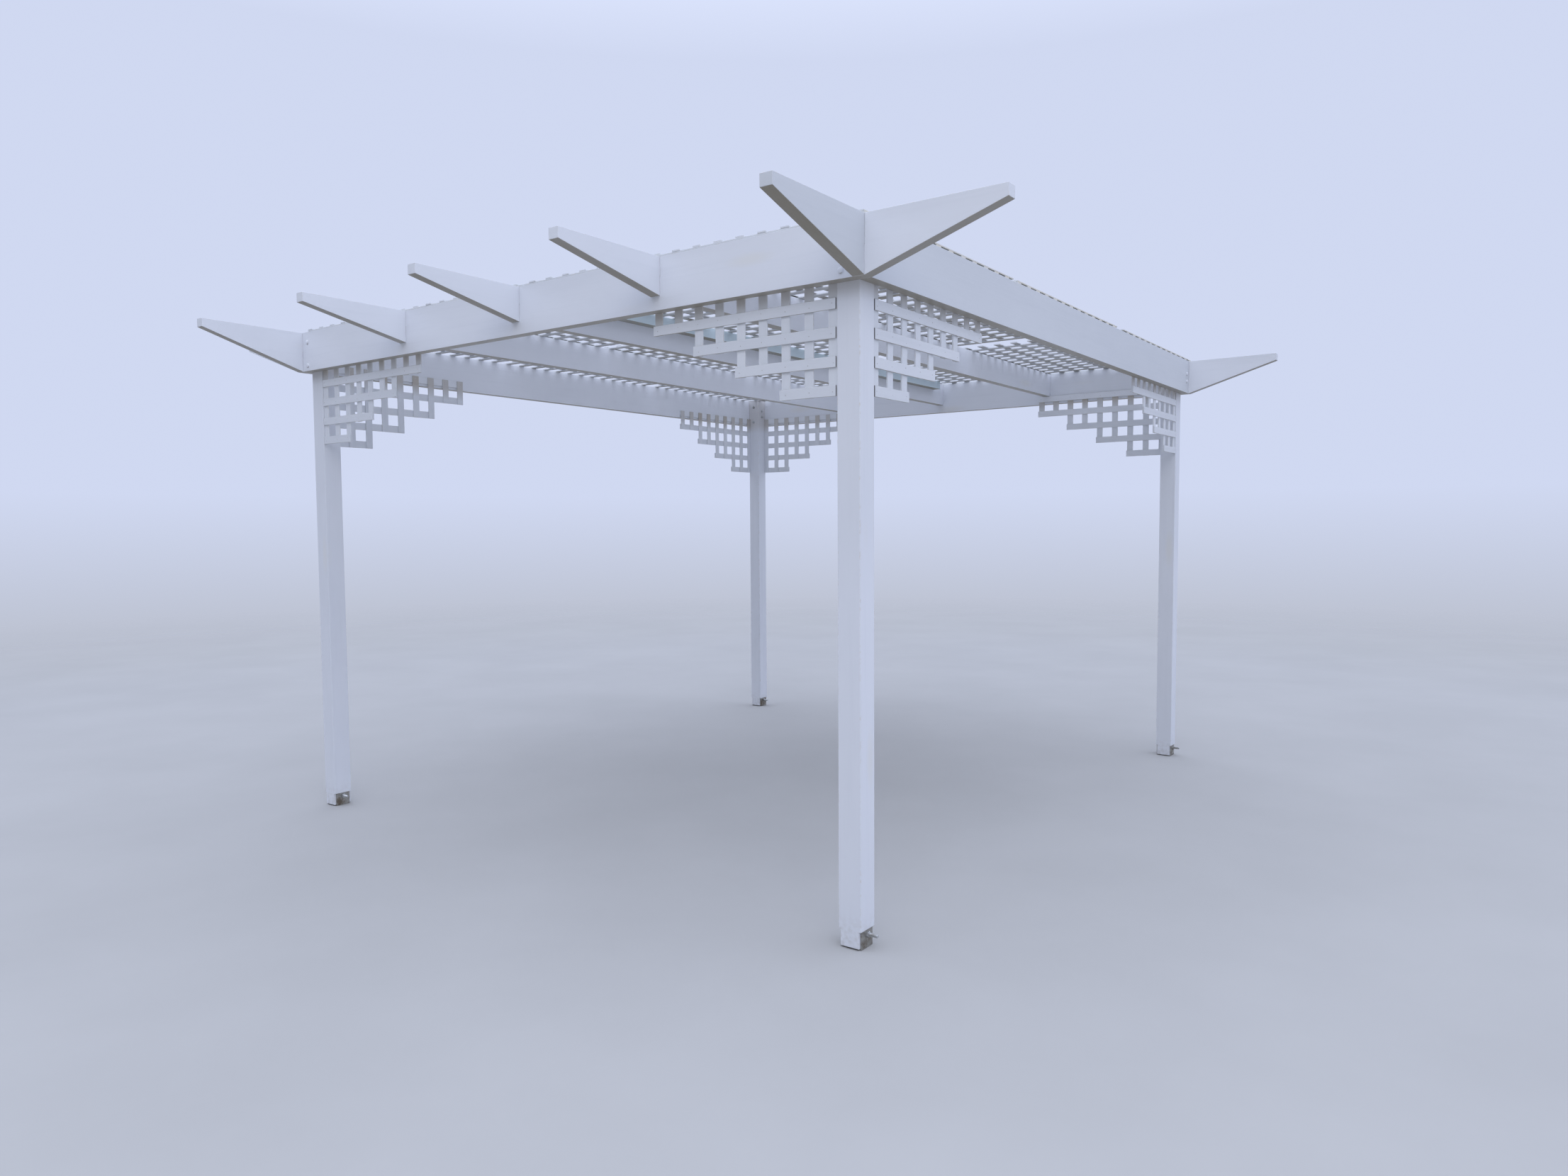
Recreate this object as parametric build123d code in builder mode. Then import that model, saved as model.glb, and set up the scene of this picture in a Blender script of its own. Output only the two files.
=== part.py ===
from build123d import *
import os

os.makedirs("parts", exist_ok=True)

# Garden pergola in painted softwood
# Four posts stand inside a ring of four lapped beams. Three shallower rafters run from front to back.
# Every beam and rafter end runs on past the frame as a tapered tail.
# Sheets of crossed laths lie on top, and stepped panels of the same laths brace the corners.
# The origin is the middle of the plan at floor level: X to the right, Y to the back, Z up, in millimetres.

# Frame sizes
frame_width = 3300.0
frame_depth = 3720.0
beam_top = 2370.0
beam_height = 190.0
beam_thickness = 45.0
rafter_height = 140.0
rafter_thickness = 45.0
outer_bay = 860.0
tail_length = 478.0
tail_tip = 38.0
post_width = 88.0
post_arris = 2.0
lap_clearance = 0.3

# Batten beside the middle rafter
batten_width = 50.0
batten_depth = 50.0
batten_front_gap = 0.5
batten_back_gap = 145.0

# Trellis laths
lath_width = 36.0
lath_thickness = 6.0
lath_pitch = 95.5
lath_stub = 1.0

# Roof sheets, two across and three along, with open joints between them
sheets_along = 3
roof_edge_setback = 1.0
roof_middle_gap = 9.0
roof_cross_gap = 40.0
right_back_gap = 92.0
right_sheet_shift = 82.0

# Corner bracket panels
bracket_verticals = (9, 9, 7, 5, 3)
bracket_rail_pitch = 93.0
bracket_rafter_clearance = 0.5
bracket_post_gap = 5.0
bracket_end_stub = 4.0

# Post stirrups
stirrup_thickness = 5.0
stirrup_width = 70.0
stirrup_height = 62.0
stirrup_rebate = 8.0
stirrup_clearance = 0.3
foot_bolt_diameter = 12.0
foot_bolt_height = 46.0
foot_bolt_clearance = 0.5
foot_bolt_reach = 38.0
foot_nut_across_flats = 19.0
foot_nut_height = 10.0
foot_head_height = 7.5

# Derived positions
half_width = frame_width / 2
half_depth = frame_depth / 2
side_beam_x = half_width - beam_thickness / 2
cross_beam_y = half_depth - beam_thickness / 2
inner_x = half_width - beam_thickness
inner_y = half_depth - beam_thickness
post_x = inner_x - post_width / 2
post_y = inner_y - post_width / 2
beam_bottom = beam_top - beam_height
batten_x = rafter_thickness / 2 + batten_width / 2
bracket_top_rail = beam_height - rafter_height - bracket_rafter_clearance - lath_width / 2
outer_rafter_x = half_width - outer_bay - rafter_thickness / 2
rafter_positions = {"right": outer_rafter_x, "middle": 0.0, "left": -outer_rafter_x}
corners = {"front_right": (1, -1), "front_left": (-1, -1), "back_right": (1, 1), "back_left": (-1, 1)}


def export(part, name):
    """Label one finished piece and write it."""
    part.label = name
    export_step(part, f"parts/{name}.step")


def hexagon_radius(across_flats):
    """Corner radius of a hexagon from its width across flats."""
    return across_flats / 3**0.5


def tail_profile(half_length, height):
    """Side outline of a member: flat top, full depth between the crossing faces, tapered to both tips."""
    tip = half_length + tail_length
    return [
        (-tip, beam_top),
        (tip, beam_top),
        (tip, beam_top - tail_tip),
        (half_length, beam_top - height),
        (-half_length, beam_top - height),
        (-tip, beam_top - tail_tip),
    ]


# Front and back beams
def cross_beam(name, y):
    """Beam along X with open notches in its top edge for the side beams and the rafters."""
    with BuildPart() as beam:
        with BuildSketch(Plane.XZ.offset(-y)):
            Polygon(*tail_profile(half_width, beam_height), align=None)
        extrude(amount=beam_thickness / 2, both=True)
        notch_depth = beam_height / 2
        with Locations(*[(side * side_beam_x, y, beam_top) for side in (1, -1)]):
            Box(
                beam_thickness + 2 * lap_clearance,
                2 * beam_thickness,
                2 * notch_depth,
                mode=Mode.SUBTRACT,
            )
        with Locations(*[(x, y, beam_top) for x in rafter_positions.values()]):
            Box(
                rafter_thickness + 2 * lap_clearance,
                2 * beam_thickness,
                rafter_height,
                mode=Mode.SUBTRACT,
            )
    export(beam.part, name)


cross_beam("front_beam", -cross_beam_y)
cross_beam("back_beam", cross_beam_y)


# Side beams
def side_beam(name, x):
    """Beam along Y with open notches in its bottom edge that drop over the front and back beams."""
    with BuildPart() as beam:
        with BuildSketch(Plane.YZ.offset(x)):
            Polygon(*tail_profile(half_depth, beam_height), align=None)
        extrude(amount=beam_thickness / 2, both=True)
        with Locations(*[(x, side * cross_beam_y, beam_bottom) for side in (1, -1)]):
            Box(
                2 * beam_thickness,
                beam_thickness + 2 * lap_clearance,
                beam_height,
                mode=Mode.SUBTRACT,
            )
    export(beam.part, name)


side_beam("right_beam", side_beam_x)
side_beam("left_beam", -side_beam_x)


# Middle rafters
def rafter(name, x):
    """Shallower member along Y, notched from below over the front and back beams."""
    with BuildPart() as member:
        with BuildSketch(Plane.YZ.offset(x)):
            Polygon(*tail_profile(half_depth, rafter_height), align=None)
        extrude(amount=rafter_thickness / 2, both=True)
        with Locations(*[(x, side * cross_beam_y, beam_top - rafter_height) for side in (1, -1)]):
            Box(
                2 * rafter_thickness,
                beam_thickness + 2 * lap_clearance,
                rafter_height,
                mode=Mode.SUBTRACT,
            )
    export(member.part, name)


for place, x in rafter_positions.items():
    rafter(f"rafter_{place}", x)

# Batten along the right face of the middle rafter, under the joint of the roof sheets
batten_length = 2 * inner_y - batten_front_gap - batten_back_gap
batten_y = (batten_front_gap - batten_back_gap) / 2
with BuildPart() as batten:
    with Locations((batten_x, batten_y, beam_top - batten_depth / 2)):
        Box(batten_width, batten_length, batten_depth)
export(batten.part, "roof_batten")


# Posts
def post(name, x, y):
    """Square post on its stirrup, rebated at the foot and drilled for the foot bolt."""
    with BuildPart() as timber:
        with BuildSketch(Plane.XY.offset(stirrup_thickness)):
            with Locations((x, y)):
                Rectangle(post_width, post_width)
        extrude(amount=beam_top - stirrup_thickness)
        chamfer(timber.edges().filter_by(Axis.Z), post_arris)
        for side in (1, -1):
            with Locations((x + side * post_width / 2, y, stirrup_height + stirrup_clearance)):
                Box(
                    2 * stirrup_rebate,
                    2 * post_width,
                    2 * stirrup_height,
                    align=(Align.CENTER, Align.CENTER, Align.MAX),
                    mode=Mode.SUBTRACT,
                )
        with Locations((x, y, foot_bolt_height)):
            Cylinder(
                foot_bolt_diameter / 2 + foot_bolt_clearance,
                2 * post_width,
                rotation=(0, 90, 0),
                mode=Mode.SUBTRACT,
            )
    export(timber.part, name)


# Post stirrups
def stirrup(name, x, y):
    """Folded steel strap under the post, with a side plate in each rebate."""
    cheek_inner = post_width / 2 - stirrup_rebate
    cheek_outer = cheek_inner + stirrup_thickness
    with BuildPart() as strap:
        with BuildSketch(Plane.XZ.offset(-y)):
            with Locations((x, stirrup_height / 2)):
                Rectangle(2 * cheek_outer, stirrup_height)
            with Locations((x, stirrup_thickness + stirrup_height / 2)):
                Rectangle(2 * cheek_inner, stirrup_height, mode=Mode.SUBTRACT)
        extrude(amount=stirrup_width / 2, both=True)
        with Locations((x, y, foot_bolt_height)):
            Cylinder(
                foot_bolt_diameter / 2 + foot_bolt_clearance,
                2 * post_width,
                rotation=(0, 90, 0),
                mode=Mode.SUBTRACT,
            )
    export(strap.part, name)


# Foot bolts
def foot_bolt(name, x, y):
    """Hexagon bolt through the stirrup and the post, its nut and thread end on the right."""
    cheek_outer = post_width / 2 - stirrup_rebate + stirrup_thickness
    head_seat = x - cheek_outer
    nut_seat = x + cheek_outer
    thread_end = x + post_width / 2 + foot_bolt_reach
    with BuildPart() as bolt:
        with BuildSketch(Plane.YZ.offset(head_seat)):
            with Locations((y, foot_bolt_height)):
                RegularPolygon(hexagon_radius(foot_nut_across_flats), 6)
        extrude(amount=-foot_head_height)
        with BuildSketch(Plane.YZ.offset(nut_seat)):
            with Locations((y, foot_bolt_height)):
                RegularPolygon(hexagon_radius(foot_nut_across_flats), 6)
        extrude(amount=foot_nut_height)
        with BuildSketch(Plane.YZ.offset(head_seat)):
            with Locations((y, foot_bolt_height)):
                Circle(foot_bolt_diameter / 2)
        extrude(amount=thread_end - head_seat)
    export(bolt.part, name)


for corner, (side, end) in corners.items():
    post(f"post_{corner}", side * post_x, end * post_y)
    stirrup(f"stirrup_{corner}", side * post_x, end * post_y)
    foot_bolt(f"foot_bolt_{corner}", side * post_x, end * post_y)


# Corner bracket panels
def bracket_laths(rails_inside):
    """Boxes of one panel as (along, up, inward) ranges, from the post's face, beam bottom and beam face."""
    rail_layer = (lath_thickness, 2 * lath_thickness) if rails_inside else (0, lath_thickness)
    upright_layer = (0, lath_thickness) if rails_inside else (lath_thickness, 2 * lath_thickness)
    laths = []
    for row, count in enumerate(bracket_verticals):
        middle = bracket_top_rail - row * bracket_rail_pitch
        reach = (count - 1) * lath_pitch + lath_width + bracket_end_stub
        laths.append(
            ((bracket_post_gap, reach), (middle - lath_width / 2, middle + lath_width / 2), rail_layer)
        )
    rail_top = bracket_top_rail + lath_width / 2
    for column in range(bracket_verticals[0]):
        lowest_row = max(row for row, count in enumerate(bracket_verticals) if count > column)
        foot = bracket_top_rail - lowest_row * bracket_rail_pitch - lath_width / 2
        start = column * lath_pitch
        laths.append(((start, start + lath_width), (foot, rail_top), upright_layer))
    return laths


def add_lath(low, high):
    """Add one square-edged lath between two opposite corners given in any order."""
    with Locations(*[tuple((a + b) / 2 for a, b in zip(low, high))]):
        Box(*[abs(b - a) for a, b in zip(low, high)])


for corner, (side, end) in corners.items():
    post_inner_x = inner_x - post_width
    post_inner_y = inner_y - post_width
    with BuildPart() as panel:
        for along, up, inward in bracket_laths(rails_inside=(corner == "back_right")):
            add_lath(
                (side * (post_inner_x - along[0]), end * (inner_y - inward[0]), beam_bottom + up[0]),
                (side * (post_inner_x - along[1]), end * (inner_y - inward[1]), beam_bottom + up[1]),
            )
    export(panel.part, f"cross_bracket_{corner}")
    with BuildPart() as panel:
        for along, up, inward in bracket_laths(rails_inside=False):
            add_lath(
                (side * (inner_x - inward[0]), end * (post_inner_y - along[0]), beam_bottom + up[0]),
                (side * (inner_x - inward[1]), end * (post_inner_y - along[1]), beam_bottom + up[1]),
            )
    export(panel.part, f"side_bracket_{corner}")


# Roof sheets
def lath_centres(edge, direction, length):
    """Centres of one layer's laths, counted from a stub inside one edge of the sheet."""
    count = int((length - lath_stub - lath_width) // lath_pitch) + 1
    first = edge + direction * (lath_stub + lath_width / 2)
    return [first + direction * index * lath_pitch for index in range(count)]


sheet_width = half_width - roof_edge_setback - batten_x - roof_middle_gap / 2
sheet_length = (frame_depth - 2 * roof_edge_setback - (sheets_along - 1) * roof_cross_gap) / sheets_along
roof_end = half_depth - roof_edge_setback
sheet_columns = {"right": (1, right_sheet_shift, right_back_gap), "left": (-1, 0.0, roof_cross_gap)}

for column, (side, shift, back_gap) in sheet_columns.items():
    inner_edge = batten_x + side * roof_middle_gap / 2
    outer_edge = inner_edge + side * sheet_width
    beam_edge = side * (half_width - roof_edge_setback)
    middle_start = -sheet_length / 2 - shift
    middle_end = sheet_length / 2 - shift
    sheet_rows = {
        "front": (-roof_end, 1, middle_start - roof_cross_gap + roof_end),
        "middle": (middle_start, 1, sheet_length),
        "back": (roof_end, -1, roof_end - middle_end - back_gap),
    }
    for row, (edge, direction, length) in sheet_rows.items():
        # The lower laths run on to the side beam, except the first one at the front left
        with BuildPart() as lower_laths:
            for index, y in enumerate(lath_centres(edge, direction, length)):
                end = outer_edge if row == "front" and index == 0 else beam_edge
                with Locations(((inner_edge + end) / 2, y, beam_top + lath_thickness / 2)):
                    Box(abs(end - inner_edge), lath_width, lath_thickness)
        export(lower_laths.part, f"lower_laths_{row}_{column}")
        with BuildPart() as upper_laths:
            for x in lath_centres(outer_edge, -side, sheet_width):
                with Locations((x, edge + direction * length / 2, beam_top + 1.5 * lath_thickness)):
                    Box(lath_width, length, lath_thickness)
        export(upper_laths.part, f"upper_laths_{row}_{column}")
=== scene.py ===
import math
import random

import bmesh
import bpy
from mathutils import Matrix, Vector


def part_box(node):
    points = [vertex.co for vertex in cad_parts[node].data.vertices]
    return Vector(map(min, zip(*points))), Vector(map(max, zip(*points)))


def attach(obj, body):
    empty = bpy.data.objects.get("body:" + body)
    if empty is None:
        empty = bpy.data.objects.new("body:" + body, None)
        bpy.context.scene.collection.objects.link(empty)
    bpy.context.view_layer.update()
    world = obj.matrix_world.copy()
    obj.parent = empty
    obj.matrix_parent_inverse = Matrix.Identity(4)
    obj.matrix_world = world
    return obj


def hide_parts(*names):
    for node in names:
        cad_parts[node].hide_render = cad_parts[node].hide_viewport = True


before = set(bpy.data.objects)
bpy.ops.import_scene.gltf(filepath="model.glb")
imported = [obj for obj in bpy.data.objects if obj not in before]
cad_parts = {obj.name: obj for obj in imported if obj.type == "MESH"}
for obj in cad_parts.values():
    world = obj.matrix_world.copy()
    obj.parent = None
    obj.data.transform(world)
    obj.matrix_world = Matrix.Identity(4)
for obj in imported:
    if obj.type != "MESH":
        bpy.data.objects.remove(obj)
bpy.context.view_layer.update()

# The scene dresses a painted garden pergola: timber with eased arrises and brushed paint, a trellis roof
# and corner panels of separate laths with their nails, coach bolts, and galvanised stirrups at the feet.
# Lengths are metres in the frame of the solids: X to the right, Y to the back, Z up.

CORNERS = {"front_right": (1, -1), "front_left": (-1, -1), "back_right": (1, 1), "back_left": (-1, 1)}

# Camera, as solved from the edges of the frame in the photograph
CAMERA_PLACE = (3.3712, -4.6564, 1.3981)
CAMERA_YAW, CAMERA_PITCH, CAMERA_ROLL = 36.0861, -3.3649, -0.3365
CAMERA_LENS = 23.80
CAMERA_REACH = 200
SENSOR_WIDTH = 36.0

# Solids: points within MERGE_DISTANCE and faces within FLAT_ANGLE are joined, and edges sharper than
# EDGE_ANGLE are eased by an arris of these radii
MERGE_DISTANCE = 0.00002
FLAT_ANGLE, EDGE_ANGLE = math.radians(2), math.radians(30)
ARRIS_STEPS = 2
ARRIS = 0.0015
LATH_ARRIS = 0.0009
STEEL_ARRIS = 0.0006

# Laths. TOP_SKIN is what the upper roof laths give up, so that their nails stay within the solids'
# height. BARE_SIDES are a section's right side, its underside and the chamfer between them
LATH_WIDTH = 0.036
LATH_THICKNESS = 0.006
LATH_PITCH = 0.0955
TOP_SKIN = 0.0006
BARE_SIDES = (0, 6, 7)

# How far a lath strays from a straight stick of its width, and the most that a roof lath is shortened
RING_SPACING = 0.11
LATH_BOW = 0.0009
LATH_LIFT = 0.00025
LATH_DRIFT = 0.0006
LATH_SPREAD = (-0.0006, 0.0004)
ROOF_TRIM = 0.0025
SAME_EDGE = 0.001

# Corner panels: the uprights in each row, and the top rail's height over the beams' underside
BRACKET_UPRIGHTS = (9, 9, 7, 5, 3)
BRACKET_TOP_RAIL = 0.0315
BRACKET_RAIL_PITCH = 0.093
BRACKET_POST_GAP = 0.005
BRACKET_END_STUB = 0.004
RAIL_TRIM = 0.002
UPRIGHT_TRIM = 0.001

# Nails, and how far they miss the middle of a crossing
NAIL_RADIUS = 0.0019
NAIL_HEIGHT = 0.0004
NAIL_TOP = 0.8
ROOF_NAIL_SCATTER = 0.006
BRACKET_NAIL_SCATTER = 0.005

# Seeds of the random draws, with one step for each sheet or panel
LOWER_SEED, UPPER_SEED, ROOF_NAIL_SEED = 100, 200, 500
CROSS_SEED, SIDE_SEED = 300, 400

# Bolts through the beams and posts, with drops below the beams' top edge. A round head is a profile of
# (radius, height), a washer is (bore, rim, height), a nut (width, height), a thread (radius, length, pitch).
# NUT_TURN turns each nut by its own drop, so that no two sit alike
BEAM_TOP = 2.370
BEAM_FACE_X, BEAM_FACE_Y = 1.650, 1.860
POST_X, POST_Y = 1.561, 1.771
POST_HALF = 0.044
CROSS_BOLT_DROPS = (0.050, 0.163)
SIDE_BOLT_DROPS = (0.080, 0.123)
BOLT_HEAD = (
    (0.0110, 0.0),
    (0.0110, 0.0014),
    (0.0100, 0.0036),
    (0.0077, 0.0054),
    (0.0042, 0.0064),
    (0.0, 0.0066),
)
BEAM_WASHER = (0.0045, 0.0100, 0.0016)
BEAM_NUT = (0.0130, 0.0065)
BEAM_THREAD = (0.0040, 0.0090, 0.00125)
NUT_TURN = 40

# Bolts through the stirrups, whose outer faces lie FOOT_CHEEK from the post's middle
FOOT_BOLT_HEIGHT = 0.046
FOOT_CHEEK = 0.041
FOOT_HEAD = (0.0190, 0.0075)
FOOT_NUT = (0.0190, 0.0100)
FOOT_THREAD = (0.0060, 0.0410, 0.00175)
FOOT_HEAD_TURN, FOOT_NUT_TURN = 0.2, 0.5

# Parts of a size: a washer's rounded edge, a hexagon's turned corners, a thread's root and tip, a nut's
# bore and how deep in the nut the thread starts
WASHER_EDGE = 0.3
HEXAGON_SHOULDER, HEXAGON_TOP = 0.88, 0.90
THREAD_ROOT, THREAD_TIP = 0.86, 0.80
NUT_BORE = 0.9
NUT_DEPTH = 0.6

# Sides of turned shapes
HEAD_SIDES, THREAD_SIDES, NAIL_SIDES = 24, 20, 8

# Paints, the factors that grey or warm them, and how much grain, wear and painted shade under the beams they
# show
PAINT = (0.80, 0.82, 0.87)
LATH_PAINT = (0.80, 0.82, 0.86)
# The right beam's paint is a darker copy of PAINT: painted shade on that beam
SHADED_SIDE_PAINT = (0.68, 0.705, 0.745)
PRIMER = (0.66, 0.77, 0.82)
GREYED = (0.86, 0.87, 0.88)
WARMED = (0.97, 0.94, 0.86)
LATH_GRAIN, LATH_WEAR = 1.7, 0.9
PRIMER_GRAIN, PRIMER_WEAR = 1.2, 0.4
POST_BEAM_SHADE, UPRIGHT_BEAM_SHADE = 0.30, 0.70

# What lies on the paint or shows through it, the painted shade on undersides, under the beams and at rail
# ends, and how strongly
FILM = (0.46, 0.50, 0.45)
UNDERSIDE_GRIME_AND_SHADE = (0.26, 0.225, 0.16)
SOIL = (0.36, 0.31, 0.24)
MILDEW_AND_BEAM_SHADE = (0.34, 0.27, 0.17)
WORN_WOOD = (0.60, 0.50, 0.36)
BARE_WOOD = (0.78, 0.72, 0.60)
RAIL_END_SHADE = (0.14, 0.13, 0.12)
SOIL_STRENGTH, BARE_STRENGTH, RAIL_END_SHADE_STRENGTH = 0.25, 0.9, 0.8

# Slopes of a face's normal and heights over the floor, from where each of them starts to where it is full
UPWARD, DOWNWARD = (0.55, 0.95), (-0.55, -0.95)
SPLASH = (0.12, 0.0)
BEAM_SHADE_LEVELS = (2.12, 2.185)

# What the meshes tell the materials about each face
FACE_LAYERS = ("arris", "tone", "bare", "rail_end_shade")

# Texture scales along and across the grain
FINE_SCALE = (1.6, 42.0)
BRUSH_SCALE = (5.0, 160.0)
BROAD_SCALE = (0.8, 2.2)
KNOT_SCALE = (1.3, 5.5)
SPECK_SCALE = (55.0, 55.0)
EVEN_SCALE = (1.0, 1.0)

# Steel: its light and dark spangles and its dull patches, and the colour that plain views show
ZINC = ((0.62, 0.64, 0.65), (0.46, 0.48, 0.50), (0.33, 0.31, 0.27))
STAINED_ZINC = ((0.46, 0.45, 0.42), (0.28, 0.26, 0.23), (0.16, 0.12, 0.08))
NAIL_STEEL = ((0.66, 0.67, 0.69), (0.52, 0.51, 0.49), (0.45, 0.42, 0.38))
STEEL_VIEW = (0.55, 0.57, 0.58)
STEEL_METALLIC = 0.85
SPANGLE_SCALE = 180.0
PATCH_SCALE = 28.0

# Floor
FLOOR = (0.46, 0.46, 0.455)
FLOOR_DARKER = 0.95
FLOOR_PATCHES = 0.9
FLOOR_ROUGHNESS = 0.9
FLOOR_FADE, FLOOR_END = 6.5, 15.0
FLOOR_SIDES = 96
FLOOR_DROP = 0.0005

# Sky, with the directions between which its colours change. SHADE stands for the garden in front of the
# pergola
HORIZON = (0.63, 0.69, 0.88)
ZENITH = (1.52, 1.64, 1.98)
SHADE = (0.10, 0.105, 0.105)
GROUND = (0.485, 0.515, 0.60)
SKY_RISE = (0.40, 0.95)
SHADE_FRONT = (-0.05, -0.55)
SHADE_TOP = (0.46, 0.28)
GROUND_EDGE = (0.03, -0.10)

# The one lamp
KEY_PLACE, KEY_TARGET = (4.6, -6.6, 6.0), (0, 0, 1.2)
KEY_SIZE = (6.0, 5.0)
KEY_POWER = 95.0
KEY_COLOUR = (1.0, 0.98, 0.95)


# Node helpers
def new_material(name, slot_colour):
    """A node material with its shader and output, and the colour that plain views show."""
    material = bpy.data.materials.new(name)
    material.use_nodes = True
    material.diffuse_color = (*slot_colour, 1.0)
    tree = material.node_tree
    tree.nodes.clear()
    shader = tree.nodes.new("ShaderNodeBsdfPrincipled")
    output = tree.nodes.new("ShaderNodeOutputMaterial")
    tree.links.new(shader.outputs["BSDF"], output.inputs["Surface"])
    return material, tree, shader


def add_node(tree, kind, **values):
    """A node with some of its properties or sockets set."""
    node = tree.nodes.new(kind)
    for key, value in values.items():
        if hasattr(node, key):
            setattr(node, key, value)
        else:
            node.inputs[key].default_value = value
    return node


def stretched_coordinates(tree, axis, along, across):
    """Object coordinates scaled apart along one axis, so that a texture draws out into grain."""
    source = add_node(tree, "ShaderNodeTexCoord")
    mapping = add_node(tree, "ShaderNodeMapping")
    scale = [across, across, across]
    scale["XYZ".index(axis)] = along
    mapping.inputs["Scale"].default_value = scale
    tree.links.new(source.outputs["Object"], mapping.inputs["Vector"])
    return mapping.outputs["Vector"]


def noise_value(tree, vector, scale, detail=4.0, roughness=0.55):
    """A noise value from 0 to 1 at a place."""
    node = add_node(tree, "ShaderNodeTexNoise", Scale=scale, Detail=detail, Roughness=roughness)
    tree.links.new(vector, node.inputs["Vector"])
    return node.outputs["Fac"]


def remap(tree, value, low, high, to_low=0.0, to_high=1.0):
    """A value squeezed from one range to another, and held there."""
    node = add_node(tree, "ShaderNodeMapRange", clamp=True)
    node.inputs["From Min"].default_value = low
    node.inputs["From Max"].default_value = high
    node.inputs["To Min"].default_value = to_low
    node.inputs["To Max"].default_value = to_high
    tree.links.new(value, node.inputs["Value"])
    return node.outputs["Result"]


def calculate(tree, operation, first, second):
    """One value multiplied by another, or taken from it."""
    node = add_node(tree, "ShaderNodeMath", operation=operation)
    for socket, value in zip(node.inputs, (first, second)):
        if isinstance(value, float):
            socket.default_value = value
        else:
            tree.links.new(value, socket)
    return node.outputs["Value"]


def mix_colour(tree, amount, first, second):
    """Two colours mixed by an amount. Each colour is a constant or comes from a socket."""
    node = add_node(tree, "ShaderNodeMix", data_type="RGBA")
    factor, first_socket, second_socket = node.inputs[0], node.inputs[6], node.inputs[7]
    tree.links.new(amount, factor)
    for socket, value in ((first_socket, first), (second_socket, second)):
        if isinstance(value, tuple):
            socket.default_value = (*value, 1.0)
        else:
            tree.links.new(value, socket)
    return node.outputs[2]


def face_value(tree, name):
    """A value that the mesh holds for each face."""
    return add_node(tree, "ShaderNodeAttribute", attribute_name=name).outputs["Fac"]


def add_bump(tree, shader, layers):
    """Stack bump layers, each a height, a strength and a distance in metres."""
    normal = None
    for height, strength, distance in layers:
        node = add_node(tree, "ShaderNodeBump", Strength=strength, Distance=distance)
        tree.links.new(height, node.inputs["Height"])
        if normal is not None:
            tree.links.new(normal, node.inputs["Normal"])
        normal = node.outputs["Normal"]
    tree.links.new(normal, shader.inputs["Normal"])


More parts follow.
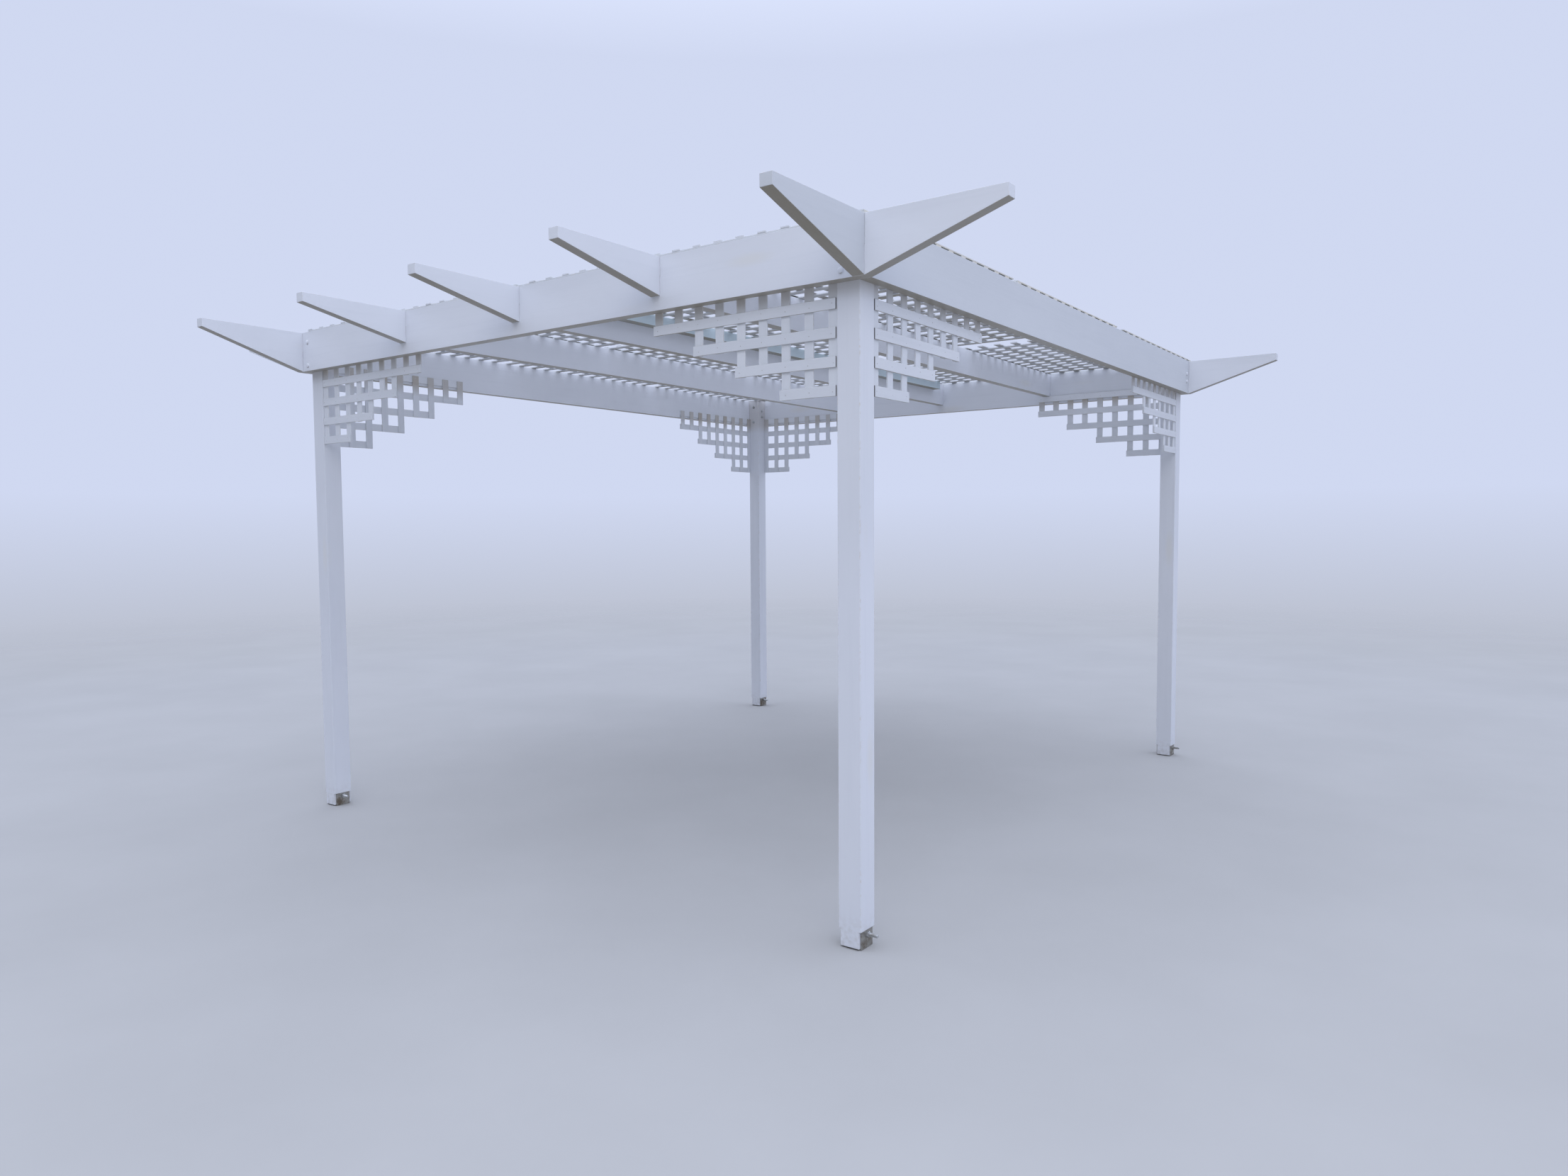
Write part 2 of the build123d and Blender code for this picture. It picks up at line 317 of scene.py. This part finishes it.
def painted_wood(name, axis, base, grain=1.0, wear=0.5, beam_shade=0.0):
    """Brushed exterior paint over softwood whose grain runs along one axis."""
    material, tree, shader = new_material(name, base)
    grain_height, brush_height, broad_tone, speck = (
        noise_value(tree, stretched_coordinates(tree, axis, *scale), 1.0, detail, roughness)
        for scale, detail, roughness in (
            (FINE_SCALE, 6.0, 0.6),
            (BRUSH_SCALE, 3.0, 0.5),
            (BROAD_SCALE, 5.0, 0.6),
            (SPECK_SCALE, 2.0, 0.5),
        )
    )

    greyed = tuple(c * f for c, f in zip(base, GREYED))
    warm = tuple(c * f for c, f in zip(base, WARMED))
    colour = mix_colour(tree, remap(tree, broad_tone, 0.35, 0.75, 0.0, 0.55), base, greyed)
    colour = mix_colour(tree, remap(tree, grain_height, 0.52, 0.78, 0.0, 0.30 * grain), colour, greyed)

    # Knots show through the paint as faint warm ovals
    knot = add_node(tree, "ShaderNodeTexVoronoi", Scale=1.0, Randomness=1.0)
    tree.links.new(stretched_coordinates(tree, axis, *KNOT_SCALE), knot.inputs["Vector"])
    knot_mask = remap(tree, knot.outputs["Distance"], 0.05, 0.16, 0.55, 0.0)
    colour = mix_colour(tree, knot_mask, colour, warm)

    # Dust and a thin green film lie on upward faces
    geometry = add_node(tree, "ShaderNodeNewGeometry")
    split = add_node(tree, "ShaderNodeSeparateXYZ")
    tree.links.new(geometry.outputs["True Normal"], split.inputs["Vector"])
    upward = remap(tree, split.outputs["Z"], *UPWARD)
    film = calculate(tree, "MULTIPLY", upward, remap(tree, broad_tone, 0.30, 0.62, 0.35, 0.85))
    colour = mix_colour(tree, film, colour, FILM)

    # Undersides are greyed: partly grime and mildew, partly painted shade
    downward = remap(tree, split.outputs["Z"], *DOWNWARD)
    grime_and_shade = calculate(tree, "MULTIPLY", downward, remap(tree, broad_tone, 0.25, 0.65, 0.70, 0.92))
    colour = mix_colour(tree, grime_and_shade, colour, UNDERSIDE_GRIME_AND_SHADE)

    # Splashed soil stains the feet. Towards the beams above, the paint darkens: painted shade under the
    # beams, with some mildew
    place = add_node(tree, "ShaderNodeTexCoord")
    split = add_node(tree, "ShaderNodeSeparateXYZ")
    tree.links.new(place.outputs["Object"], split.inputs["Vector"])
    level = split.outputs["Z"]
    splash = calculate(tree, "MULTIPLY", remap(tree, level, *SPLASH), remap(tree, speck, 0.42, 0.62))
    colour = mix_colour(tree, calculate(tree, "MULTIPLY", splash, SOIL_STRENGTH), colour, SOIL)
    if beam_shade:
        colour = mix_colour(tree, remap(tree, level, *BEAM_SHADE_LEVELS, 0.0, beam_shade), colour, MILDEW_AND_BEAM_SHADE)

    # Paint thins on the arrises, where worn wood shows in places
    thinned = remap(tree, speck, 0.62 - 0.2 * wear, 0.80, 0.0, wear)
    worn = calculate(tree, "MULTIPLY", face_value(tree, "arris"), thinned)
    colour = mix_colour(tree, worn, colour, WORN_WOOD)

    # Faces that were sawn after painting stay bare
    bare = calculate(tree, "MULTIPLY", face_value(tree, "bare"), BARE_STRENGTH)
    colour = mix_colour(tree, bare, colour, BARE_WOOD)

    # Each lath takes the paint a little differently
    colour = mix_colour(tree, remap(tree, face_value(tree, "tone"), 0.0, 1.0, 0.0, 0.5), colour, greyed)

    # End faces of rails next to a post are painted dark: painted shade in the gap between rail and post
    rail_end_shade = calculate(tree, "MULTIPLY", face_value(tree, "rail_end_shade"), RAIL_END_SHADE_STRENGTH)
    colour = mix_colour(tree, rail_end_shade, colour, RAIL_END_SHADE)

    tree.links.new(colour, shader.inputs["Base Color"])
    tree.links.new(remap(tree, brush_height, 0.3, 0.7, 0.42, 0.58), shader.inputs["Roughness"])
    add_bump(
        tree,
        shader,
        ((grain_height, 0.35 * grain, 0.0012), (brush_height, 0.22, 0.0005), (speck, 0.08, 0.0004)),
    )
    return material


def galvanised(name, light, dark, stain):
    """Hot-dip zinc with soft spangles and dull patches."""
    material, tree, shader = new_material(name, STEEL_VIEW)
    shader.inputs["Metallic"].default_value = STEEL_METALLIC
    place = stretched_coordinates(tree, "Z", *EVEN_SCALE)
    cells = add_node(tree, "ShaderNodeTexVoronoi", Scale=SPANGLE_SCALE, Randomness=1.0)
    tree.links.new(place, cells.inputs["Vector"])
    patches = noise_value(tree, place, PATCH_SCALE, 4.0)
    split = add_node(tree, "ShaderNodeSeparateColor")
    tree.links.new(cells.outputs["Color"], split.inputs["Color"])
    shine = mix_colour(tree, remap(tree, split.outputs["Red"], 0.0, 1.0, 0.0, 0.6), light, dark)
    dulled = mix_colour(tree, remap(tree, patches, 0.46, 0.64, 0.0, 0.8), shine, stain)
    tree.links.new(dulled, shader.inputs["Base Color"])
    tree.links.new(remap(tree, patches, 0.35, 0.70, 0.34, 0.66), shader.inputs["Roughness"])
    add_bump(tree, shader, ((split.outputs["Green"], 0.12, 0.0004), (patches, 0.2, 0.0006)))
    return material


paint = {axis: painted_wood(f"paint_along_{axis.lower()}", axis, PAINT) for axis in "XYZ"}
lath_paint = {
    axis: painted_wood(f"lath_paint_along_{axis.lower()}", axis, LATH_PAINT, LATH_GRAIN, LATH_WEAR)
    for axis in "XY"
}
# A darker copy of the paint, as painted shade on the right beam
shaded_side_paint = painted_wood("side_paint_along_y", "Y", SHADED_SIDE_PAINT)
# Posts and panel uprights darken towards the beams above: painted shade with some mildew
post_paint = painted_wood("post_paint", "Z", PAINT, beam_shade=POST_BEAM_SHADE)
upright_paint = painted_wood("upright_paint", "Z", LATH_PAINT, LATH_GRAIN, LATH_WEAR, UPRIGHT_BEAM_SHADE)
primer = painted_wood("blue_primer", "Y", PRIMER, PRIMER_GRAIN, PRIMER_WEAR)
zinc = galvanised("galvanised_zinc", *ZINC)
stained_zinc = galvanised("stained_zinc", *STAINED_ZINC)
nail_steel = galvanised("nail_steel", *NAIL_STEEL)


# Mesh helpers
def make_piece(name, mesh_data, material, node=None, smooth=True):
    """A finished object that rides on the frame, with weighted normals where it is smooth."""
    mesh = bpy.data.meshes.new(name)
    mesh_data.to_mesh(mesh)
    mesh_data.free()
    mesh.materials.append(material)
    piece = bpy.data.objects.new(name, mesh)
    bpy.context.scene.collection.objects.link(piece)
    if smooth:
        for polygon in mesh.polygons:
            polygon.use_smooth = True
        weighting = piece.modifiers.new("weighted", "WEIGHTED_NORMAL")
        weighting.keep_sharp = True
    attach(piece, "root")
    if node:
        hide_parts(node)


def add_layers(mesh_data):
    """Face layers that the materials read."""
    for name in FACE_LAYERS:
        mesh_data.faces.layers.float.new(name)


def node_copy(node):
    """A solid's mesh, copied with its faces joined at their corners."""
    mesh_data = bmesh.new()
    mesh_data.from_mesh(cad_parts[node].data)
    bmesh.ops.remove_doubles(mesh_data, verts=mesh_data.verts, dist=MERGE_DISTANCE)
    return mesh_data


def eased_solid(node, material, radius):
    """One solid with its outer arrises rounded over, in place of its node."""
    mesh_data = node_copy(node)
    add_layers(mesh_data)
    arris = mesh_data.faces.layers.float["arris"]
    bmesh.ops.dissolve_limit(
        mesh_data, angle_limit=FLAT_ANGLE, verts=mesh_data.verts, edges=mesh_data.edges
    )
    outer = [
        edge
        for edge in mesh_data.edges
        if len(edge.link_faces) == 2 and edge.is_convex and edge.calc_face_angle() > EDGE_ANGLE
    ]
    bevelled = bmesh.ops.bevel(
        mesh_data,
        geom=outer,
        offset=radius,
        segments=ARRIS_STEPS,
        profile=0.5,
        affect="EDGES",
        clamp_overlap=True,
    )
    for face in bevelled["faces"]:
        face[arris] = 1.0
    make_piece(f"{node}_eased", mesh_data, material, node)


def section(width, thickness, chamfer):
    """Corner points of a lath's cross-section, anticlockwise, with every second side a chamfer."""
    w, t = width / 2, thickness / 2
    return [
        (w, -t + chamfer),
        (w, t - chamfer),
        (w - chamfer, t),
        (-w + chamfer, t),
        (-w, t - chamfer),
        (-w, -t + chamfer),
        (-w + chamfer, -t),
        (w - chamfer, -t),
    ]


def add_lath(
    mesh_data, start, end, across, up, thickness, rng, bare_side=False, bare_end=False, rail_end_shade_start=0.0
):
    """One lath from start to end, slightly bowed, with its arrises knocked off."""
    arris, tone, bare, rail_end_shade = (mesh_data.faces.layers.float[name] for name in FACE_LAYERS)
    start, end, across, up = Vector(start), Vector(end), Vector(across), Vector(up)
    rings = max(3, int((end - start).length / RING_SPACING))
    bow = rng.uniform(-LATH_BOW, LATH_BOW)
    lift = rng.uniform(0.0, LATH_LIFT)
    drift = rng.uniform(-LATH_DRIFT, LATH_DRIFT)
    width = LATH_WIDTH + rng.uniform(*LATH_SPREAD)
    shade = rng.random()
    corners = section(width, thickness, LATH_ARRIS)
    loops = []
    for ring in range(rings + 1):
        t = ring / rings
        middle = start.lerp(end, t) + across * (bow * math.sin(math.pi * t) + drift * (t - 0.5))
        middle = middle - up * (lift * math.sin(math.pi * 2 * t) ** 2)
        loops.append([mesh_data.verts.new(middle + across * a + up * b) for a, b in corners])
    count = len(corners)
    for first, second in zip(loops, loops[1:]):
        for k in range(count):
            n = (k + 1) % count
            face = mesh_data.faces.new((first[k], first[n], second[n], second[k]))
            face[arris] = 1.0 if k % 2 else 0.0
            face[tone] = shade
            if bare_side and k in BARE_SIDES:
                face[bare] = 1.0
    for loop, at_end in ((loops[0], False), (loops[-1], True)):
        face = mesh_data.faces.new(loop if at_end else list(reversed(loop)))
        face[tone] = shade
        if bare_end and at_end:
            face[bare] = 1.0
        # The end face at the start is painted dark by its given amount: painted shade in the gap at a post
        if not at_end:
            face[rail_end_shade] = rail_end_shade_start


def new_laths():
    """An empty mesh with the layers that laths fill."""
    mesh_data = bmesh.new()
    add_layers(mesh_data)
    return mesh_data


def solid_boxes(node):
    """Lowest and highest corners of each separate solid in a node."""
    mesh_data = node_copy(node)
    left = set(mesh_data.verts)
    boxes = []
    while left:
        stack, found = [left.pop()], []
        while stack:
            vert = stack.pop()
            found.append(vert.co.copy())
            for edge in vert.link_edges:
                other = edge.other_vert(vert)
                if other in left:
                    left.remove(other)
                    stack.append(other)
        boxes.append(
            (
                Vector(min(c[i] for c in found) for i in range(3)),
                Vector(max(c[i] for c in found) for i in range(3)),
            )
        )
    mesh_data.free()
    return sorted(boxes, key=lambda b: (round(b[0].x, 4), round(b[0].y, 4)))


def sheet_laths(node, axis, thickness_cut, seed, bare):
    """The laths of one layer of a roof sheet, with or without bare wood along its right edge."""
    rng = random.Random(seed)
    mesh_data = new_laths()
    boxes = solid_boxes(node)
    outermost = max(high.x for low, high in boxes)
    for low, high in boxes:
        middle = (low + high) / 2
        thickness = high.z - low.z - thickness_cut
        z = low.z + thickness / 2
        trim = rng.uniform(0.0, ROOF_TRIM), rng.uniform(0.0, ROOF_TRIM)
        side = end_face = False
        if axis == "Y":
            start, end = (middle.x, low.y + trim[0], z), (middle.x, high.y - trim[1], z)
            across = (1, 0, 0)
            side = bare and high.x > outermost - SAME_EDGE
        else:
            start, end = (low.x + trim[0], middle.y, z), (high.x - trim[1], middle.y, z)
            across = (0, -1, 0)
            end_face = bare
        add_lath(mesh_data, start, end, across, (0, 0, 1), thickness, rng, side, end_face)
    bmesh.ops.recalc_face_normals(mesh_data, faces=mesh_data.faces)
    make_piece(f"{node}_strips", mesh_data, lath_paint[axis], node, False)


def turned(mesh_data, profile, place, direction, sides=HEAD_SIDES, start=0.0, closed=False):
    """A shape turned about an axis from (radius, height) points. A radius of 0 closes it to a point."""
    direction = Vector(direction).normalized()
    side = direction.orthogonal().normalized()
    other = direction.cross(side)
    rings = []
    for radius, height in profile:
        centre = Vector(place) + direction * height
        if radius == 0.0:
            rings.append([mesh_data.verts.new(centre)])
            continue
        turn = [start + 2 * math.pi * k / sides for k in range(sides)]
        spokes = [side * math.cos(a) + other * math.sin(a) for a in turn]
        rings.append([mesh_data.verts.new(centre + spoke * radius) for spoke in spokes])
    pairs = list(zip(rings, rings[1:]))
    if closed:
        pairs.append((rings[-1], rings[0]))
    for low, high in pairs:
        for k in range(sides):
            n = (k + 1) % sides
            if len(high) == 1:
                mesh_data.faces.new((low[k], low[n], high[0]))
            else:
                mesh_data.faces.new((low[k], low[n], high[n], high[k]))


def add_washer(mesh_data, size, place, direction):
    """A flat washer on a face."""
    bore, rim, height = size
    edge = height * WASHER_EDGE
    profile = ((bore, 0.0), (rim, 0.0), (rim, height - edge), (rim - edge, height), (bore, height))
    turned(mesh_data, profile, place, direction, closed=True)


def add_hexagon(mesh_data, size, place, direction, bore=0.0, start=0.0):
    """A hexagonal head or nut with its corners turned off."""
    width, height = size
    radius = width / math.sqrt(3)
    top = radius * HEXAGON_TOP
    profile = ((radius, 0.0), (radius, height * HEXAGON_SHOULDER), (top, height), (bore, height))
    turned(mesh_data, profile, place, direction, 6, start)


def add_thread(mesh_data, size, place, direction):
    """A threaded end, as rings of the thread's own pitch."""
    radius, length, pitch = size
    profile = []
    height = 0.0
    while height + pitch < length:
        profile += [(radius * THREAD_ROOT, height), (radius, height + pitch / 2)]
        height += pitch
    profile += [(radius * THREAD_ROOT, height), (radius * THREAD_TIP, length), (0.0, length)]
    turned(mesh_data, profile, place, direction, THREAD_SIDES)


def add_nail(mesh_data, place, direction):
    """The flat head of a small nail."""
    profile = ((NAIL_RADIUS, 0.0), (NAIL_RADIUS * NAIL_TOP, NAIL_HEIGHT), (0.0, NAIL_HEIGHT))
    turned(mesh_data, profile, place, direction, NAIL_SIDES)


def sheet_nails(row, column, seed):
    """One nail where each pair of laths crosses."""
    rng = random.Random(seed)
    mesh_data = bmesh.new()
    for x_low, x_high in solid_boxes(f"lower_laths_{row}_{column}"):
        for y_low, y_high in solid_boxes(f"upper_laths_{row}_{column}"):
            x = (y_low.x + y_high.x) / 2
            if x_low.x < x < x_high.x:
                place = (
                    x + rng.uniform(-ROOF_NAIL_SCATTER, ROOF_NAIL_SCATTER),
                    (x_low.y + x_high.y) / 2 + rng.uniform(-ROOF_NAIL_SCATTER, ROOF_NAIL_SCATTER),
                    y_high.z - TOP_SKIN,
                )
                add_nail(mesh_data, place, (0, 0, 1))
    make_piece(f"roof_nails_{row}_{column}", mesh_data, nail_steel, smooth=False)


def bracket_panel(node, run, inward, rails_inside, seed):
    """One stepped corner panel: rails and uprights with a nail at each crossing."""
    rng = random.Random(seed)
    low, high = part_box(node)
    run, inward = Vector(run), Vector(inward)
    origin = Vector(
        (
            (low.x if run.x > 0 else high.x) if run.x else (low.x if inward.x > 0 else high.x),
            (low.y if run.y > 0 else high.y) if run.y else (low.y if inward.y > 0 else high.y),
            high.z - BRACKET_TOP_RAIL - LATH_WIDTH / 2,
        )
    )
    up = Vector((0, 0, 1))
    t = LATH_THICKNESS
    rail_depth, upright_depth = (1.5 * t, 0.5 * t) if rails_inside else (0.5 * t, 1.5 * t)
    rails, uprights, nails = new_laths(), new_laths(), bmesh.new()
    for row, count in enumerate(BRACKET_UPRIGHTS):
        height = BRACKET_TOP_RAIL - row * BRACKET_RAIL_PITCH
        reach = (count - 1) * LATH_PITCH + LATH_WIDTH + BRACKET_END_STUB - rng.uniform(0.0, RAIL_TRIM)
        base = origin + inward * rail_depth + up * height
        start, end = base + run * BRACKET_POST_GAP, base + run * reach
        # The rails' ends at the post are painted dark: painted shade in the gap
        add_lath(rails, start, end, up, inward, t, rng, rail_end_shade_start=1.0)
    for column in range(BRACKET_UPRIGHTS[0]):
        lowest = max(row for row, count in enumerate(BRACKET_UPRIGHTS) if count > column)
        foot = BRACKET_TOP_RAIL - lowest * BRACKET_RAIL_PITCH - LATH_WIDTH / 2
        head = BRACKET_TOP_RAIL + LATH_WIDTH / 2
        base = origin + inward * upright_depth + run * (column * LATH_PITCH + LATH_WIDTH / 2)
        start, end = base + up * (foot + rng.uniform(0, UPRIGHT_TRIM)), base + up * head
        add_lath(uprights, start, end, run, inward, t, rng)
    scatter = BRACKET_NAIL_SCATTER
    outer_face, inner_face = origin, origin + inward * 2 * t
    for row, count in enumerate(BRACKET_UPRIGHTS):
        for column in range(count):
            height = BRACKET_TOP_RAIL - row * BRACKET_RAIL_PITCH + rng.uniform(-scatter, scatter)
            along = column * LATH_PITCH + LATH_WIDTH / 2 + rng.uniform(-scatter, scatter)
            face, way = (inner_face, inward) if row == 0 else (outer_face, -inward)
            add_nail(nails, face + run * along + up * height, way)
    for mesh_data in (rails, uprights):
        bmesh.ops.recalc_face_normals(mesh_data, faces=mesh_data.faces)
    axis = "X" if run.x else "Y"
    make_piece(f"{node}_rails", rails, lath_paint[axis], node, False)
    make_piece(f"{node}_uprights", uprights, upright_paint, node, False)
    make_piece(f"{node}_nails", nails, nail_steel, smooth=False)


def beam_bolts(corner, side, end):
    """Coach bolts through both beams into one post, with their nuts on the post's inner faces."""
    heads, steel = bmesh.new(), bmesh.new()
    for drop in CROSS_BOLT_DROPS:
        z = BEAM_TOP - drop
        turned(heads, BOLT_HEAD, (side * POST_X, end * BEAM_FACE_Y, z), (0, end, 0))
        add_nut_end(steel, (side * POST_X, end * (POST_Y - POST_HALF), z), (0, -end, 0), drop)
    for drop in SIDE_BOLT_DROPS:
        z = BEAM_TOP - drop
        turned(heads, BOLT_HEAD, (side * BEAM_FACE_X, end * POST_Y, z), (side, 0, 0))
        add_nut_end(steel, (side * (POST_X - POST_HALF), end * POST_Y, z), (-side, 0, 0), drop)
    make_piece(f"bolt_heads_{corner}", heads, paint["Z"])
    make_piece(f"bolt_nuts_{corner}", steel, zinc, smooth=False)


def add_nut_end(mesh_data, place, direction, turn):
    """Washer, nut and thread end on a post's inner face."""
    direction = Vector(direction)
    add_washer(mesh_data, BEAM_WASHER, place, direction)
    nut_face = Vector(place) + direction * BEAM_WASHER[2]
    add_hexagon(mesh_data, BEAM_NUT, nut_face, direction, BEAM_THREAD[0] * NUT_BORE, turn * NUT_TURN)
    add_thread(mesh_data, BEAM_THREAD, nut_face + direction * BEAM_NUT[1] * NUT_DEPTH, direction)


def foot_bolt(corner, side, end):
    """Hexagon head, nut and long threaded end through a stirrup."""
    steel = bmesh.new()
    place = Vector((side * POST_X, end * POST_Y, FOOT_BOLT_HEIGHT))
    along = Vector((1, 0, 0))
    add_hexagon(steel, FOOT_HEAD, place - along * FOOT_CHEEK, -along, 0.0, FOOT_HEAD_TURN * side)
    add_hexagon(
        steel, FOOT_NUT, place + along * FOOT_CHEEK, along, FOOT_THREAD[0] * NUT_BORE, FOOT_NUT_TURN * end
    )
    add_thread(steel, FOOT_THREAD, place + along * FOOT_CHEEK, along)
    make_piece(f"foot_bolt_{corner}_steel", steel, zinc, f"foot_bolt_{corner}", False)


# Timber
for name in ("front_beam", "back_beam"):
    eased_solid(name, paint["X"], ARRIS)
# The right beam takes the darker paint: painted shade
eased_solid("right_beam", shaded_side_paint, ARRIS)
eased_solid("left_beam", paint["Y"], ARRIS)
for name in ("rafter_right", "rafter_middle", "rafter_left"):
    eased_solid(name, paint["Y"], ARRIS)
for corner in CORNERS:
    eased_solid(f"post_{corner}", post_paint, ARRIS)
eased_solid("roof_batten", primer, ARRIS)

# Roof sheets
SHEETS = [(row, column) for row in ("front", "middle", "back") for column in ("right", "left")]
for number, (row, column) in enumerate(SHEETS):
    sheet_laths(f"lower_laths_{row}_{column}", "X", 0.0, LOWER_SEED + number, column == "right")
    sheet_laths(f"upper_laths_{row}_{column}", "Y", TOP_SKIN, UPPER_SEED + number, column == "right")
    sheet_nails(row, column, ROOF_NAIL_SEED + number)

# Corner panels, of which the one across the back right corner is turned round
for number, (corner, (side, end)) in enumerate(CORNERS.items()):
    across, along = (-side, 0, 0), (0, -end, 0)
    bracket_panel(f"cross_bracket_{corner}", across, along, corner == "back_right", CROSS_SEED + number)
    bracket_panel(f"side_bracket_{corner}", along, across, False, SIDE_SEED + number)

# Steel
for corner, (side, end) in CORNERS.items():
    beam_bolts(corner, side, end)
    foot_bolt(corner, side, end)
    eased_solid(f"stirrup_{corner}", stained_zinc, STEEL_ARRIS)


# Floor, light and camera
def add_floor():
    """A pale floor that fades into the backdrop far away."""
    mesh_data = bmesh.new()
    bmesh.ops.create_circle(
        mesh_data, cap_ends=True, cap_tris=True, segments=FLOOR_SIDES, radius=FLOOR_END
    )
    mesh = bpy.data.meshes.new("floor")
    mesh_data.to_mesh(mesh)
    mesh_data.free()
    material, tree, shader = new_material("floor_grey", FLOOR)
    place = stretched_coordinates(tree, "Z", *EVEN_SCALE)
    patches = noise_value(tree, place, FLOOR_PATCHES, 5.0)
    darker = tuple(c * FLOOR_DARKER for c in FLOOR)
    colour = mix_colour(tree, remap(tree, patches, 0.35, 0.65), darker, FLOOR)
    tree.links.new(colour, shader.inputs["Base Color"])
    shader.inputs["Roughness"].default_value = FLOOR_ROUGHNESS
    shader.inputs["Specular IOR Level"].default_value = 0.0
    reach = add_node(tree, "ShaderNodeVectorMath", operation="LENGTH")
    tree.links.new(place, reach.inputs[0])
    clear = add_node(tree, "ShaderNodeBsdfTransparent")
    blend = add_node(tree, "ShaderNodeMixShader")
    tree.links.new(remap(tree, reach.outputs["Value"], FLOOR_FADE, FLOOR_END), blend.inputs["Fac"])
    tree.links.new(shader.outputs["BSDF"], blend.inputs[1])
    tree.links.new(clear.outputs["BSDF"], blend.inputs[2])
    output = tree.get_output_node("ALL")
    tree.links.new(blend.outputs["Shader"], output.inputs["Surface"])
    mesh.materials.append(material)
    floor = bpy.data.objects.new("floor", mesh)
    floor.location = (0, 0, -FLOOR_DROP)
    bpy.context.scene.collection.objects.link(floor)


def add_sky():
    """Overcast light, stronger from above and weaker low in front, where the camera still sees plain sky."""
    world = bpy.data.worlds.new("overcast")
    world.use_nodes = True
    bpy.context.scene.world = world
    tree = world.node_tree
    tree.nodes.clear()
    output = tree.nodes.new("ShaderNodeOutputWorld")
    background = tree.nodes.new("ShaderNodeBackground")
    source = tree.nodes.new("ShaderNodeTexCoord")
    split = tree.nodes.new("ShaderNodeSeparateXYZ")
    tree.links.new(source.outputs["Generated"], split.inputs["Vector"])
    colour = mix_colour(tree, remap(tree, split.outputs["Z"], *SKY_RISE), HORIZON, ZENITH)
    in_front = remap(tree, split.outputs["Y"], *SHADE_FRONT)
    low = remap(tree, split.outputs["Z"], *SHADE_TOP)
    ray = tree.nodes.new("ShaderNodeLightPath")
    unseen = calculate(tree, "SUBTRACT", 1.0, ray.outputs["Is Camera Ray"])
    shaded = calculate(tree, "MULTIPLY", calculate(tree, "MULTIPLY", in_front, low), unseen)
    colour = mix_colour(tree, shaded, colour, SHADE)
    colour = mix_colour(tree, remap(tree, split.outputs["Z"], *GROUND_EDGE), colour, GROUND)
    tree.links.new(colour, background.inputs["Color"])
    background.inputs["Strength"].default_value = 1.0
    tree.links.new(background.outputs["Background"], output.inputs["Surface"])


def add_area(name, place, target, size, power, colour):
    """A large soft lamp that looks at a point."""
    lamp = bpy.data.lights.new(name, "AREA")
    lamp.shape = "RECTANGLE"
    lamp.size, lamp.size_y = size
    lamp.energy = power
    lamp.color = colour
    holder = bpy.data.objects.new(name, lamp)
    holder.location = place
    holder.rotation_euler = (Vector(target) - Vector(place)).to_track_quat("-Z", "Y").to_euler()
    bpy.context.scene.collection.objects.link(holder)


def add_camera():
    """The photograph's viewpoint."""
    yaw, pitch, roll = (math.radians(a) for a in (CAMERA_YAW, CAMERA_PITCH, CAMERA_ROLL))
    forward = Vector((-math.sin(yaw) * math.cos(pitch), math.cos(yaw) * math.cos(pitch), math.sin(pitch)))
    right = Vector((math.cos(yaw), math.sin(yaw), 0))
    up = right.cross(forward)
    right, up = (
        right * math.cos(roll) + up * math.sin(roll),
        up * math.cos(roll) - right * math.sin(roll),
    )
    lens = bpy.data.cameras.new("view")
    lens.sensor_fit = "HORIZONTAL"
    lens.sensor_width = SENSOR_WIDTH
    lens.lens = CAMERA_LENS
    lens.clip_end = CAMERA_REACH
    camera = bpy.data.objects.new("view", lens)
    turn = Matrix((right, up, -forward)).transposed().to_4x4()
    camera.matrix_world = Matrix.Translation(CAMERA_PLACE) @ turn
    bpy.context.scene.collection.objects.link(camera)
    bpy.context.scene.camera = camera


add_floor()
add_sky()
add_area("key", KEY_PLACE, KEY_TARGET, KEY_SIZE, KEY_POWER, KEY_COLOUR)
add_camera()
bpy.context.scene.view_settings.view_transform = "Standard"
bpy.context.scene.view_settings.look = "None"
